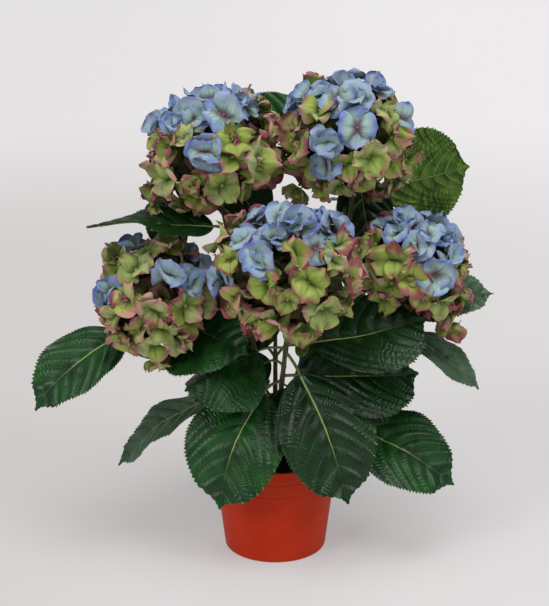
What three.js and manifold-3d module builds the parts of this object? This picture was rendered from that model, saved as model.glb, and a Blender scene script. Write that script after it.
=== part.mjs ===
// Silk hydrangea in a small plastic pot: pot, filling, six stems, six flower heads and their leaves.
// Millimetres, +Z up, origin at the centre of the pot's flat underside.

import * as THREE from 'three';
import Module from 'manifold-3d';
import { mergeVertices } from 'three/addons/utils/BufferGeometryUtils.js';

const wasm = await Module();
wasm.setup();

// ---------------------------------------------------------------- driving dimensions

const GAP = 0.3;               // left between two pieces that would touch or cross
const HALVINGS = 24;           // steps of the search for a height on a stem
const UP = new THREE.Vector3(0, 0, 1);

const POT = {
  height: 105, footRadius: 52, rimRadius: 65, wall: 1.8, floor: 2.4, footRound: 2.0,
  rings: [14, 28], ringDepth: 0.5, ringWidth: 1.6, segments: 40,
};
const FILL = { top: 90, dish: 3, flatShare: 0.5, segments: 20 };

const STEM = { footRadius: 3.0, topRadius: 2.0, sides: 8, steps: 9, rise: 70, intoHead: 55, sink: 4 };

const HEAD = { lumps: 0.022, underside: 0.92, detail: 3 };

const LEAF = {
  thickness: 2.0, petioleRadius: 1.6, petioleSteps: 3, petioleEase: 0.45,
  arch: 0.06, fold: 10, curl: 0.1,
  stations: [0.02, 0.1, 0.26, 0.44, 0.62, 0.8, 0.92, 1.0],
  fullness: 0.62, widest: 0.92, tipStart: 0.86, tipPinch: 0.5, leastWidth: 0.02,
};

const COLOUR = {
  pot: '#b8422a', fill: '#231c17', stem: '#6b6a35', leaf: '#2c4a2a', bloom: '#a3ac66',
};

// Each head: the centre of its dome, its half sizes, and how far it leans out from upright.
const HEADS = {
  head_top_left: { centre: [-60, 15, 411], size: [69, 64, 63], leanX: -8, leanY: 0, seed: 1 },
  head_top_right: { centre: [70, 20, 424], size: [67, 63, 64], leanX: -6, leanY: 4, seed: 2 },
  head_front: { centre: [12, -75, 316], size: [70, 64, 66], leanX: 0, leanY: -24, seed: 3 },
  head_left: { centre: [-117, -20, 274], size: [56, 55, 60], leanX: -26, leanY: -6, seed: 4 },
  head_right: { centre: [134, -10, 305], size: [58, 55, 51], leanX: 26, leanY: -4, seed: 5 },
  head_back: { centre: [0, 100, 258], size: [64, 58, 56], leanX: 0, leanY: 28, seed: 6 },
};

// Each stem: where it leaves the filling, and the head it carries.
const STEMS = {
  stem_front: { foot: [0, -11], head: 'head_front', bow: [2, 14] },
  stem_left: { foot: [-10, -4], head: 'head_left', bow: [0, 0] },
  stem_right: { foot: [11, -4], head: 'head_right', bow: [0, 0] },
  stem_top_left: { foot: [-7, 6], head: 'head_top_left', bow: [4, 8] },
  stem_top_right: { foot: [6, 6], head: 'head_top_right', bow: [-6, 8] },
  stem_back: { foot: [0, 15], head: 'head_back', bow: [0, -4] },
};

// Each leaf: the stem it springs from and the height of its node there, the foot of its blade,
// the compass heading and rise of its midrib, its roll about the midrib, its length and width.
// The rest is optional: arch, fold, twist, sideways bend and shear of the outline.
const LEAVES = {
  leaf_front_left: { stem: 'stem_front', node: 186, base: [-12, -35, 178], heading: -131, rise: -57,
    roll: 28, length: 122, width: 100, bend: -0.06 },
  leaf_front_right: { stem: 'stem_front', node: 222, base: [24, -38, 200], heading: -49, rise: -58,
    roll: -32, length: 136, width: 96, bend: 0.03 },
  leaf_left_high: { stem: 'stem_left', node: 219, base: [-153, 25, 221], heading: -148, rise: -31,
    roll: 26, length: 121, width: 74, bend: -0.06 },
  leaf_left_low: { stem: 'stem_left', node: 140, base: [-67, 0, 162], heading: -171, rise: -36,
    roll: 7, length: 118, width: 64, bend: -0.07, arch: 0.03 },
  leaf_right_low: { stem: 'stem_right', node: 128, base: [78, -15, 137], heading: -16, rise: -26,
    roll: -37, length: 119, width: 88 },
  leaf_right_middle: { stem: 'stem_front', node: 192, base: [25, -20, 193], heading: -5, rise: 3,
    roll: -47, length: 118, width: 94, bend: -0.05, shear: -0.4 },
  leaf_right_high: { stem: 'stem_front', node: 230, base: [31, -30, 230], heading: -10, rise: 15,
    roll: -47, length: 123, width: 94, bend: -0.05, shear: -0.5 },
  leaf_left_middle: { stem: 'stem_front', node: 226, base: [-17, -25, 220], heading: -151, rise: -18,
    roll: 12, length: 86, width: 100, fold: -28, arch: 0.04 },
  leaf_left_inner: { stem: 'stem_front', node: 204, base: [-5, -15, 206], heading: -169, rise: -27,
    roll: 44, length: 86, width: 62 },
  leaf_left_centre: { stem: 'stem_left', node: 212, base: [-99, 20, 235], heading: -48, rise: -3,
    roll: -39, length: 108, width: 112 },
  leaf_right_outer: { stem: 'stem_right', node: 236, base: [116, 20, 250], heading: -6, rise: 10,
    roll: -22, length: 106, width: 80, shear: -0.1 },
  leaf_right_drooping: { stem: 'stem_right', node: 228, base: [138, 0, 227], heading: -25, rise: -33,
    roll: 0, length: 85, width: 66, shear: -0.2 },
  leaf_turned_up: { stem: 'stem_top_right', node: 352, base: [111, 60, 365], heading: 7, rise: 13,
    roll: 81, length: 90, width: 108, arch: 0.02, fold: 4, curl: 0 },
  leaf_hanging: { stem: 'stem_top_right', node: 350, base: [82, 60, 384], heading: -41, rise: -76,
    roll: -38, length: 95, width: 60 },
  leaf_top_between: { stem: 'stem_top_right', node: 338, base: [45, 72, 431], heading: 179, rise: 5,
    roll: 61, length: 96, width: 50 },
  leaf_edge_on: { stem: 'stem_top_left', node: 322, base: [-60, -20, 347], heading: -173, rise: 2,
    roll: 0, length: 123, width: 76, twist: -50, arch: 0.03 },
  leaf_upright_left: { stem: 'stem_top_left', node: 296, base: [-96, 26, 308], heading: 169, rise: 66,
    roll: 91, length: 64, width: 44 },
  leaf_upright_inner: { stem: 'stem_top_left', node: 312, base: [-14, 65, 325], heading: 165, rise: 57,
    roll: 69, length: 72, width: 60 },
  leaf_upright_centre: { stem: 'stem_left', node: 180, base: [-18, 15, 205], heading: 146, rise: 75,
    roll: 60, length: 71, width: 66 },
  leaf_low_centre: { stem: 'stem_front', node: 182, base: [13, -20, 179], heading: -100, rise: -71,
    roll: 9, length: 67, width: 60 },
  leaf_small: { stem: 'stem_front', node: 238, base: [29, -38, 236], heading: -113, rise: -46,
    roll: 11, length: 20, width: 14 },
  leaf_back_low_left: { stem: 'stem_back', node: 142, base: [-22, 48, 160], heading: 125, rise: -35,
    roll: -10, length: 118, width: 88 },
  leaf_back_low_right: { stem: 'stem_back', node: 142, base: [32, 52, 158], heading: 48, rise: -34,
    roll: 12, length: 118, width: 88 },
  leaf_back_low: { stem: 'stem_back', node: 128, base: [4, 66, 140], heading: 93, rise: -42,
    roll: 0, length: 112, width: 84 },
  leaf_back_middle_left: { stem: 'stem_left', node: 196, base: [-64, 48, 222], heading: 152, rise: -8,
    roll: -14, length: 116, width: 88, bend: 0.04 },
  leaf_back_middle_right: { stem: 'stem_right', node: 200, base: [74, 52, 226], heading: 30, rise: -10,
    roll: 16, length: 114, width: 86, bend: -0.04 },
  leaf_back_high_left: { stem: 'stem_top_left', node: 330, base: [-52, 62, 342], heading: 124, rise: -14,
    roll: -8, length: 106, width: 82 },
  leaf_back_high_right: { stem: 'stem_top_right', node: 336, base: [76, 70, 348], heading: 62, rise: -16,
    roll: 10, length: 108, width: 82 },
  leaf_back_under_left: { stem: 'stem_back', node: 184, base: [-28, 98, 188], heading: 136, rise: -24,
    roll: -6, length: 104, width: 80 },
  leaf_back_under_right: { stem: 'stem_back', node: 184, base: [30, 100, 190], heading: 50, rise: -22,
    roll: 8, length: 106, width: 80 },
};

// ---------------------------------------------------------------- small helpers

const rad = THREE.MathUtils.degToRad;
const RING_ANGLES = [-60, 0, 60, 120, 180, -120];   // a leaf's ring of points, from its upper face

function vec(list) {
  return new THREE.Vector3(...list);
}

// A closed surface through rings with the same number of points, each end closed by a fan.
// The second half of a ring splits its quads the other way, so that the two faces of a thin
// twisted blade stay parallel.
function loft(rings) {
  const sides = rings[0].length;
  const points = rings.flat();
  const triangles = [];
  for (let r = 0; r + 1 < rings.length; r += 1) {
    for (let i = 0; i < sides; i += 1) {
      const a = r * sides + i;
      const b = r * sides + ((i + 1) % sides);
      if (i < sides / 2) triangles.push([a, b, a + sides], [b, b + sides, a + sides]);
      else triangles.push([a, b, b + sides], [a, b + sides, a + sides]);
    }
  }
  const last = (rings.length - 1) * sides;
  for (let i = 1; i + 1 < sides; i += 1) {
    triangles.push([0, i + 1, i], [last, last + i, last + i + 1]);
  }
  return closedGeometry(points, triangles);
}

// Builds the geometry, and turns every face over if the volume comes out negative.
function closedGeometry(points, triangles) {
  let volume = 0;
  for (const [a, b, c] of triangles) {
    volume += points[a].dot(new THREE.Vector3().crossVectors(points[b], points[c]));
  }
  const index = triangles.flatMap(([a, b, c]) => (volume > 0 ? [a, b, c] : [a, c, b]));
  const geometry = new THREE.BufferGeometry();
  geometry.setAttribute('position', new THREE.Float32BufferAttribute(points.flatMap((p) => p.toArray()), 3));
  geometry.setIndex(index);
  return geometry;
}

function toSolid(geometry) {
  const bare = geometry.clone();
  bare.deleteAttribute('normal');
  bare.deleteAttribute('uv');
  const merged = mergeVertices(bare, 1e-4);
  const vertProperties = new Float32Array(merged.attributes.position.array);
  const triVerts = new Uint32Array(merged.index.array);
  return new wasm.Manifold(new wasm.Mesh({ numProp: 3, vertProperties, triVerts }));
}

function toGeometry(solid) {
  const mesh = solid.getMesh();
  const geometry = new THREE.BufferGeometry();
  geometry.setAttribute('position', new THREE.BufferAttribute(new Float32Array(mesh.vertProperties), 3));
  geometry.setIndex(new THREE.BufferAttribute(new Uint32Array(mesh.triVerts), 1));
  return geometry;
}

// ---------------------------------------------------------------- pot and filling

function potRadius(z) {
  return POT.footRadius + (POT.rimRadius - POT.footRadius) * (z / POT.height);
}

function potGeometry() {
  const { height, wall, floor, footRound, rings, ringDepth, ringWidth } = POT;
  const outline = [[0, 0], [potRadius(0) - footRound, 0], [potRadius(footRound), footRound]];
  for (const below of [...rings].reverse()) {
    const z = height - below;
    outline.push([potRadius(z - ringWidth), z - ringWidth], [potRadius(z) - ringDepth, z]);
    outline.push([potRadius(z + ringWidth), z + ringWidth]);
  }
  outline.push([potRadius(height), height], [potRadius(height) - wall, height]);
  outline.push([potRadius(floor) - wall, floor], [0, floor]);
  return new THREE.LatheGeometry(outline.map(([x, y]) => new THREE.Vector2(x, y)), POT.segments);
}

function fillGeometry() {
  const low = POT.floor + GAP;
  const inset = POT.wall + GAP;
  const edge = FILL.top - FILL.dish;
  const profile = [[0, low], [potRadius(low) - inset, low], [potRadius(edge) - inset, edge],
    [potRadius(edge) * FILL.flatShare, FILL.top], [0, FILL.top]];
  return new THREE.LatheGeometry(profile.map(([x, y]) => new THREE.Vector2(x, y)), FILL.segments);
}

// A lathe turns about +Y. This stands it on +Z.
function upright(geometry) {
  return geometry.rotateX(Math.PI / 2);
}

// ---------------------------------------------------------------- flower heads

function headLean(head) {
  return new THREE.Vector3(Math.tan(rad(head.leanX)), Math.tan(rad(head.leanY)), 1).normalize();
}

// An uneven dome: a ball with shallow lumps, a flatter underside and its own lean.
function headGeometry(head, grow) {
  const geometry = new THREE.IcosahedronGeometry(1, HEAD.detail);
  const place = geometry.attributes.position;
  const turn = new THREE.Quaternion().setFromUnitVectors(UP, headLean(head));
  const p = new THREE.Vector3();
  for (let i = 0; i < place.count; i += 1) {
    p.fromBufferAttribute(place, i).normalize();
    const around = Math.atan2(p.y, p.x);
    const lobes = Math.sin(3 * around + head.seed) * (1 - p.z * p.z);
    const waves = Math.cos(4 * p.z + 2 * around + head.seed);
    const swell = 1 + HEAD.lumps * (lobes + waves);
    const flat = p.z < 0 ? HEAD.underside : 1;
    p.set(p.x * swell, p.y * swell, p.z * flat * swell).applyQuaternion(turn);
    p.multiply(new THREE.Vector3(...head.size.map((half) => half + grow))).add(vec(head.centre));
    place.setXYZ(i, p.x, p.y, p.z);
  }
  return geometry;
}

// ---------------------------------------------------------------- stems

function stemCurve(stem) {
  const head = HEADS[stem.head];
  const lean = headLean(head);
  const underside = Math.min(...head.size) * HEAD.underside;
  const top = vec(head.centre).addScaledVector(lean, -underside + STEM.sink);
  const foot = new THREE.Vector3(...stem.foot, FILL.top + GAP);
  const riseEnd = foot.clone().add(new THREE.Vector3(...stem.bow, STEM.rise));
  const arrive = top.clone().addScaledVector(lean, -STEM.intoHead);
  return new THREE.CubicBezierCurve3(foot, riseEnd, arrive, top);
}

// Rings round a curve, square to it, in a frame that is carried along without turning.
function ringsAlong(curve, steps, sides, radiusAt) {
  const rings = [];
  let across = new THREE.Vector3(1, 0, 0);
  for (let s = 0; s <= steps; s += 1) {
    const t = s / steps;
    const centre = curve.getPoint(t);
    const along = s === 0 ? UP.clone() : curve.getTangent(t);
    across = across.clone().addScaledVector(along, -across.dot(along)).normalize();
    const other = new THREE.Vector3().crossVectors(along, across);
    const ring = [];
    for (let i = 0; i < sides; i += 1) {
      const angle = (2 * Math.PI * i) / sides;
      const out = across.clone().multiplyScalar(Math.cos(angle)).addScaledVector(other, Math.sin(angle));
      ring.push(centre.clone().addScaledVector(out, radiusAt(t)));
    }
    rings.push(ring);
  }
  return rings;
}

function stemGeometry(stem, grow) {
  const radiusAt = (t) => STEM.footRadius + (STEM.topRadius - STEM.footRadius) * t + grow;
  return loft(ringsAlong(stemCurve(stem), STEM.steps, STEM.sides, radiusAt));
}

// The point of a stem at a height, found by halving.
function stemPointAt(name, height) {
  const curve = stemCurve(STEMS[name]);
  let low = 0;
  let high = 1;
  for (let i = 0; i < HALVINGS; i += 1) {
    const middle = (low + high) / 2;
    if (curve.getPoint(middle).z < height) low = middle;
    else high = middle;
  }
  return curve.getPoint(low);
}

// ---------------------------------------------------------------- leaves

// The midrib's direction, the blade's upper face and its side.
function bladeFrame(leaf) {
  const heading = rad(leaf.heading);
  const rise = rad(leaf.rise);
  const along = new THREE.Vector3(
    Math.cos(rise) * Math.cos(heading),
    Math.cos(rise) * Math.sin(heading),
    Math.sin(rise),
  );
  const level = UP.clone().addScaledVector(along, -UP.dot(along)).normalize();
  const levelSide = new THREE.Vector3().crossVectors(level, along);
  const roll = rad(leaf.roll);
  const face = level.multiplyScalar(Math.cos(roll)).addScaledVector(levelSide, Math.sin(roll));
  const side = new THREE.Vector3().crossVectors(face, along);
  return { along, face, side };
}

// Half the width, as a share of its largest: a full oval with a pinched tip.
function halfWidth(share) {
  const body = Math.sin(Math.PI * share ** LEAF.widest) ** LEAF.fullness;
  const tip = THREE.MathUtils.smoothstep(share, LEAF.tipStart, 1);
  return Math.max(body * (1 - LEAF.tipPinch * tip), LEAF.leastWidth);
}

// A point of the blade: share along the midrib, side from -1 to 1, and lift above the blade.
function bladePoint(leaf, share, side, lift, grow) {
  const { along, face, side: across } = bladeFrame(leaf);
  const { arch = LEAF.arch, fold = LEAF.fold, curl = LEAF.curl, twist = 0, bend = 0, shear = 0 } = leaf;
  const turn = rad(twist) * (share - 0.5);
  const up = face.clone().multiplyScalar(Math.cos(turn)).addScaledVector(across, Math.sin(turn));
  const out = across.clone().multiplyScalar(Math.cos(turn)).addScaledVector(face, -Math.sin(turn));
  const half = (leaf.width / 2) * halfWidth(share);
  const hump = Math.sin(Math.PI * share) * leaf.length;
  const slope = rad(fold);
  return vec(leaf.base)
    .addScaledVector(along, leaf.length * share + shear * half * side)
    .addScaledVector(face, arch * hump)
    .addScaledVector(across, bend * hump)
    .addScaledVector(out, (half + grow) * side * Math.cos(slope))
    .addScaledVector(up, Math.abs(side) * half * Math.sin(slope) - curl * half * side * side + lift);
}

function petioleCurve(leaf) {
  const from = stemPointAt(leaf.stem, leaf.node);
  const to = bladePoint(leaf, LEAF.stations[0], 0, 0, 0);
  const reach = from.distanceTo(to);
  const middle = to.clone().addScaledVector(bladeFrame(leaf).along, -LEAF.petioleEase * reach);
  return new THREE.QuadraticBezierCurve3(from, middle, to);
}

// Six points round the stalk, in the order of a blade ring, so that stalk and blade join up.
function petioleRings(leaf, grow) {
  const curve = petioleCurve(leaf);
  const { side } = bladeFrame(leaf);
  const radius = LEAF.petioleRadius + grow;
  const rings = [];
  for (let s = 0; s < LEAF.petioleSteps; s += 1) {
    const t = s / LEAF.petioleSteps;
    const along = curve.getTangent(t);
    const across = side.clone().addScaledVector(along, -side.dot(along)).normalize();
    const up = new THREE.Vector3().crossVectors(along, across);
    rings.push(RING_ANGLES.map((angle) => curve.getPoint(t)
      .addScaledVector(across, Math.sin(rad(angle)) * radius)
      .addScaledVector(up, Math.cos(rad(angle)) * radius)));
  }
  return rings;
}

function bladeRings(leaf, grow) {
  const half = LEAF.thickness / 2 + grow;
  return LEAF.stations.map((share) => [
    bladePoint(leaf, share, -1, half, grow),
    bladePoint(leaf, share, 0, half, grow),
    bladePoint(leaf, share, 1, half, grow),
    bladePoint(leaf, share, 1, -half, grow),
    bladePoint(leaf, share, 0, -half, grow),
    bladePoint(leaf, share, -1, -half, grow),
  ]);
}

function leafGeometry(leaf, grow) {
  return loft([...petioleRings(leaf, grow), ...bladeRings(leaf, grow)]);
}

// ---------------------------------------------------------------- keeping pieces apart

// Takes the swollen neighbours away from a piece, and keeps the largest body that is left.
function clearOf(solid, neighbours) {
  let rest = solid;
  for (const other of neighbours) {
    if (boxesMeet(rest.boundingBox(), other.boundingBox())) rest = rest.subtract(other);
  }
  const bodies = rest.decompose();
  return bodies.reduce((best, body) => (body.volume() > best.volume() ? body : best), bodies[0]);
}

function boxesMeet(a, b) {
  return [0, 1, 2].every((k) => a.min[k] < b.max[k] && b.min[k] < a.max[k]);
}

// ---------------------------------------------------------------- the plant

const plant = new THREE.Group();
plant.name = 'hydrangea';

function addPiece(name, geometry, colour, roughness) {
  const facets = geometry.toNonIndexed();
  facets.computeVertexNormals();
  const material = new THREE.MeshStandardMaterial({ color: colour, roughness, metalness: 0 });
  const mesh = new THREE.Mesh(facets, material);
  mesh.name = name;
  plant.add(mesh);
}

addPiece('pot', upright(potGeometry()), COLOUR.pot, 0.55);
addPiece('pot_fill', upright(fillGeometry()), COLOUR.fill, 0.95);

const taken = [];              // swollen copies of the pieces made so far

for (const [name, head] of Object.entries(HEADS)) {
  addPiece(name, toGeometry(clearOf(toSolid(headGeometry(head, 0)), taken)), COLOUR.bloom, 0.85);
  taken.push(toSolid(headGeometry(head, GAP)));
}

for (const [name, stem] of Object.entries(STEMS)) {
  addPiece(name, toGeometry(clearOf(toSolid(stemGeometry(stem, 0)), taken)), COLOUR.stem, 0.7);
  taken.push(toSolid(stemGeometry(stem, GAP)));
}

for (const [name, leaf] of Object.entries(LEAVES)) {
  addPiece(name, toGeometry(clearOf(toSolid(leafGeometry(leaf, 0)), taken)), COLOUR.leaf, 0.5);
  taken.push(toSolid(leafGeometry(leaf, GAP)));
}

export default plant;
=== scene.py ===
from functools import partialmethod
from math import acos, atan2, cos, degrees, exp, pi, radians, sin, sqrt, tan
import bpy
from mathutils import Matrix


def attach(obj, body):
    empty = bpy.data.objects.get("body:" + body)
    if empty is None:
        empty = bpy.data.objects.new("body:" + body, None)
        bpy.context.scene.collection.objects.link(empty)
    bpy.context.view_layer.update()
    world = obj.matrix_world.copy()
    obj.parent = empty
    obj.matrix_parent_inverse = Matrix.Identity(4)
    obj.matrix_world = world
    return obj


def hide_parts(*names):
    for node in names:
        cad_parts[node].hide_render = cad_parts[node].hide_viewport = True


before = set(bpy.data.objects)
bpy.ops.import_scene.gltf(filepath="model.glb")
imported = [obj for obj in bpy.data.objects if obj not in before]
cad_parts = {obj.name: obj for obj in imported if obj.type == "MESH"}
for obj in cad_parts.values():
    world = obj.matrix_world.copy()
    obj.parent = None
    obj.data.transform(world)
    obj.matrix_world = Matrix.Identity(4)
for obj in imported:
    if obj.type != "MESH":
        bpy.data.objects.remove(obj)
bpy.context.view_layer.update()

from types import SimpleNamespace as Sizes

import bpy
import numpy as np
from mathutils import Vector
from numpy.linalg import norm

# Silk hydrangea in a plastic pot. Shapes are worked out in millimetres, in the frame of the CAD,
# and scaled to metres where a mesh is made.

MM = 0.001
UP = np.array([0.0, 0.0, 1.0])
GOLDEN = pi * (3 - sqrt(5))
UV_NAME = "OFBake"
OFF_FLORET = (0.31, 0.2, 0.93)     # a direction that no floret faces, to find its sides from

# ---------------- sizes shared with the CAD

GAP = 0.3
POT = Sizes(height=105, foot=52, rim=65, wall=1.8, floor=2.4, round=2.0,
            rings=(14, 28), ring_depth=0.5, ring_width=1.6)
FILL = Sizes(top=90, dish=3, flat=0.5)
STEM = Sizes(foot=3.0, top=2.0, rise=70, into=55, sink=4)
LUMPS = 0.022
UNDERSIDE = 0.92

# centre, half sizes, lean in degrees, seed, and how far down from the top the blue cap reaches
HEADS = {
    "head_top_left": ((-60, 15, 411), (69, 64, 63), (-8, 0), 1, 52),
    "head_top_right": ((70, 20, 424), (67, 63, 64), (-6, 4), 2, 58),
    "head_front": ((12, -75, 316), (70, 64, 66), (0, -24), 3, 44),
    "head_left": ((-117, -20, 274), (56, 55, 60), (-26, -6), 4, 34),
    "head_right": ((134, -10, 305), (58, 55, 51), (26, -4), 5, 48),
    "head_back": ((0, 100, 258), (64, 58, 56), (0, 28), 6, 50),
}

# foot in the filling, head, and bow
STEMS = {
    "stem_front": ((0, -11), "head_front", (2, 14)),
    "stem_left": ((-10, -4), "head_left", (0, 0)),
    "stem_right": ((11, -4), "head_right", (0, 0)),
    "stem_top_left": ((-7, 6), "head_top_left", (4, 8)),
    "stem_top_right": ((6, 6), "head_top_right", (-6, 8)),
    "stem_back": ((0, 15), "head_back", (0, -4)),
}

# name: stem, height of the node, foot of the blade, heading, rise, roll, length, width, tint, extras
LEAVES = {
    "leaf_front_left": ("front", 186, (-12, -35, 178), -131, -57, 28, 122, 100, 1, {"bend": -0.06}),
    "leaf_front_right": ("front", 222, (24, -38, 200), -49, -58, -32, 136, 96, 0, {"bend": 0.03}),
    "leaf_left_high": ("left", 219, (-153, 25, 221), -148, -31, 26, 121, 74, 1, {"bend": -0.06}),
    "leaf_left_low": ("left", 140, (-67, 0, 162), -171, -36, 7, 118, 64, 2,
                      {"bend": -0.07, "arch": 0.03}),
    "leaf_right_low": ("right", 128, (78, -15, 137), -16, -26, -37, 119, 88, 1, {}),
    "leaf_right_middle": ("front", 192, (25, -20, 193), -5, 3, -47, 118, 94, 0,
                          {"bend": -0.05, "shear": -0.4}),
    "leaf_right_high": ("front", 230, (31, -30, 230), -10, 15, -47, 123, 94, 0,
                        {"bend": -0.05, "shear": -0.5}),
    "leaf_left_middle": ("front", 226, (-17, -25, 220), -151, -18, 12, 86, 100, 1,
                         {"fold": -28, "arch": 0.04}),
    "leaf_left_inner": ("front", 204, (-5, -15, 206), -169, -27, 44, 86, 62, 0, {}),
    "leaf_left_centre": ("left", 212, (-99, 20, 235), -48, -3, -39, 108, 112, 1, {}),
    "leaf_right_outer": ("right", 236, (116, 20, 250), -6, 10, -22, 106, 80, 2, {"shear": -0.1}),
    "leaf_right_drooping": ("right", 228, (138, 0, 227), -25, -33, 0, 85, 66, 2, {"shear": -0.2}),
    "leaf_turned_up": ("top_right", 352, (111, 60, 365), 7, 13, 81, 90, 108, 3,
                       {"arch": 0.02, "fold": 4, "curl": 0, "relief": 5.6}),
    "leaf_hanging": ("top_right", 350, (82, 60, 384), -41, -76, -38, 95, 60, 0, {}),
    "leaf_top_between": ("top_right", 338, (45, 72, 431), 179, 5, 61, 96, 50, 1, {}),
    "leaf_edge_on": ("top_left", 322, (-60, -20, 347), -173, 2, 0, 123, 76, 0,
                     {"twist": -50, "arch": 0.03}),
    "leaf_upright_left": ("top_left", 296, (-96, 26, 308), 169, 66, 91, 64, 44, 0, {}),
    "leaf_upright_inner": ("top_left", 312, (-14, 65, 325), 165, 57, 69, 72, 60, 0, {}),
    "leaf_upright_centre": ("left", 180, (-18, 15, 205), 146, 75, 60, 71, 66, 0, {}),
    "leaf_low_centre": ("front", 182, (13, -20, 179), -100, -71, 9, 67, 60, 0, {}),
    "leaf_small": ("front", 238, (29, -38, 236), -113, -46, 11, 20, 14, 3, {}),
    "leaf_back_low_left": ("back", 142, (-22, 48, 160), 125, -35, -10, 118, 88, 1, {}),
    "leaf_back_low_right": ("back", 142, (32, 52, 158), 48, -34, 12, 118, 88, 0, {}),
    "leaf_back_low": ("back", 128, (4, 66, 140), 93, -42, 0, 112, 84, 1, {}),
    "leaf_back_middle_left": ("left", 196, (-64, 48, 222), 152, -8, -14, 116, 88, 0, {"bend": 0.04}),
    "leaf_back_middle_right": ("right", 200, (74, 52, 226), 30, -10, 16, 114, 86, 1,
                               {"bend": -0.04}),
    "leaf_back_high_left": ("top_left", 330, (-52, 62, 342), 124, -14, -8, 106, 82, 1, {}),
    "leaf_back_high_right": ("top_right", 336, (76, 70, 348), 62, -16, 10, 108, 82, 2, {}),
    "leaf_back_under_left": ("back", 184, (-28, 98, 188), 136, -24, -6, 104, 80, 2, {}),
    "leaf_back_under_right": ("back", 184, (30, 100, 190), 50, -22, 8, 106, 80, 0, {}),
}
LEAF = Sizes(petiole=1.6, ease=0.45, arch=0.06, fold=10, curl=0.1, fullness=0.62,
             widest=0.92, tip_start=0.86, tip_pinch=0.5, least=0.02)
DRIP = 0.55            # how much narrower the drawn-out tip of a blade is than in the CAD,
DRIP_END = 0.985       # and how far along it is narrowest

# The florets that make each head's own pattern, as seen from the front: how far right and up of the
# head's centre, the length of a petal, and how far the floret turns to the front. The rest of each
# dome is filled by rule.
FLORETS = {
    ("head_top_left", "green"): [
        (21, 9, 20, 0.5), (41, -12, 23, 0.5), (51, 20, 18, 0.4), (-41, 2, 19, 0), (-40, -27, 20, 0.1),
        (-16, -30, 18, 0.2), (9, -34, 20, 0.1), (-27, -48, 19, 0), (-58, -18, 17, 0),
        (-57, -36, 17, -0.1), (-57, -52, 13, -0.2), (-22, 11, 15, 0.1), (19, -8, 16, 0.2),
        (51, 49, 18, 0.1), (37, 52, 16, 0)
    ],
    ("head_top_left", "blue"): [
        (-18, 29, 22, 0.5), (11, 33, 25, 0.4), (-6, -4, 23, 0.3), (-55, 26, 20, 0.1),
        (-45, 43, 21, 0.1), (-34, 24, 18, 0.3), (26, 55, 23, 0.2), (6, 57, 18, 0), (-17, 55, 19, 0),
        (-4, 51, 16, 0.1)
    ],
    ("head_top_right", "green"): [
        (19, -21, 21, 0.5), (13, -40, 18, 0.3), (42, -2, 19, 0.3), (58, -20, 17, 0.2),
        (48, -41, 17, 0.1), (30, -51, 15, 0), (-28, 24, 18, 0.3), (33, 20, 16, 0.2),
        (-46, -10, 19, 0.2), (-46, -49, 18, 0), (-50, 9, 18, 0.1), (-8, -45, 16, 0),
        (-4, -28, 17, 0.2), (-34, 59, 14, -0.2)
    ],
    ("head_top_right", "blue"): [
        (-20, -8, 22, 0.5), (8, 6, 22, 0.5), (5, 33, 21, 0.4), (-11, 33, 19, 0.3), (-37, 41, 23, 0.1),
        (2, 59, 20, 0), (25, 46, 20, 0.1), (50, 17, 21, 0.2), (-21, -28, 19, 0.2), (-17, 53, 18, 0),
        (-49, 36, 18, 0)
    ],
    ("head_front", "green"): [
        (7, 15, 21, 0.7), (19, -9, 22, 0.6), (-18, -11, 20, 0.4), (31, -33, 20, 0.3),
        (-12, -46, 19, 0.1), (14, -50, 19, 0.1), (53, -6, 19, 0.2), (38, 11, 17, 0.3),
        (-44, -22, 17, 0), (-60, 29, 18, 0), (-52, 51, 16, -0.1), (64, 14, 17, 0), (57, -25, 16, 0),
        (-1, -25, 15, 0.3)
    ],
    ("head_front", "blue"): [
        (9, 42, 23, 0.4), (43, 41, 24, 0.4), (-9, 48, 20, 0.3), (-28, 56, 18, 0.1),
        (-41, 29, 18, 0.3), (-27, 9, 22, 0.3), (-61, -8, 20, 0), (49, 64, 18, 0), (25, 22, 18, 0.3),
        (16, 63, 17, -0.2)
    ],
    ("head_left", "green"): [
        (2, -11, 19, 0.5), (30, -8, 21, 0.4), (-25, 1, 19, 0.3), (-28, -38, 20, 0.1),
        (-1, -45, 19, 0.1), (-2, -61, 17, -0.3), (-35, -17, 17, 0.1), (-17, 27, 19, 0.3),
        (9, 45, 18, 0.1), (25, 42, 17, 0.1), (-38, 37, 18, 0), (23, -40, 16, 0), (-7, 43, 15, 0.1)
    ],
    ("head_left", "blue"): [
        (15, 22, 20, 0.3), (32, 16, 18, 0.2), (46, 35, 20, 0.1), (-42, 4, 21, 0), (-20, 52, 20, 0),
        (13, 58, 18, -0.1), (39, 48, 17, 0)
    ],
    ("head_right", "green"): [
        (-19, 3, 22, 0.4), (-3, -16, 20, 0.3), (-27, -33, 18, 0.2), (25, -33, 18, 0.2),
        (7, -29, 18, 0.2), (-37, 19, 16, 0.1), (-39, -12, 18, 0.1), (43, -9, 17, 0), (44, -31, 17, 0),
        (36, -46, 17, -0.2), (40, 12, 15, 0), (39, -60, 17, -0.3)
    ],
    ("head_right", "blue"): [
        (19, -11, 22, 0.5), (-8, 37, 20, 0), (13, 26, 20, 0.1), (30, 23, 18, 0.1), (34, 8, 18, 0.1),
        (2, 16, 18, 0.2), (-28, 35, 15, 0), (-15, 28, 17, 0.2)
    ],
}

# ---------------- camera and light

PITCH = radians(18)
# In metres, and lens and sensor in millimetres.
CAMERA = Sizes(target=(-0.0008, 0.0, 0.262), distance=1.6, lens=95, sensor=36, far=60)
TO_CAMERA = np.array([0.0, -cos(PITCH), sin(PITCH)])
VIEW_UP = np.array([0.0, sin(PITCH), cos(PITCH)])

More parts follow.
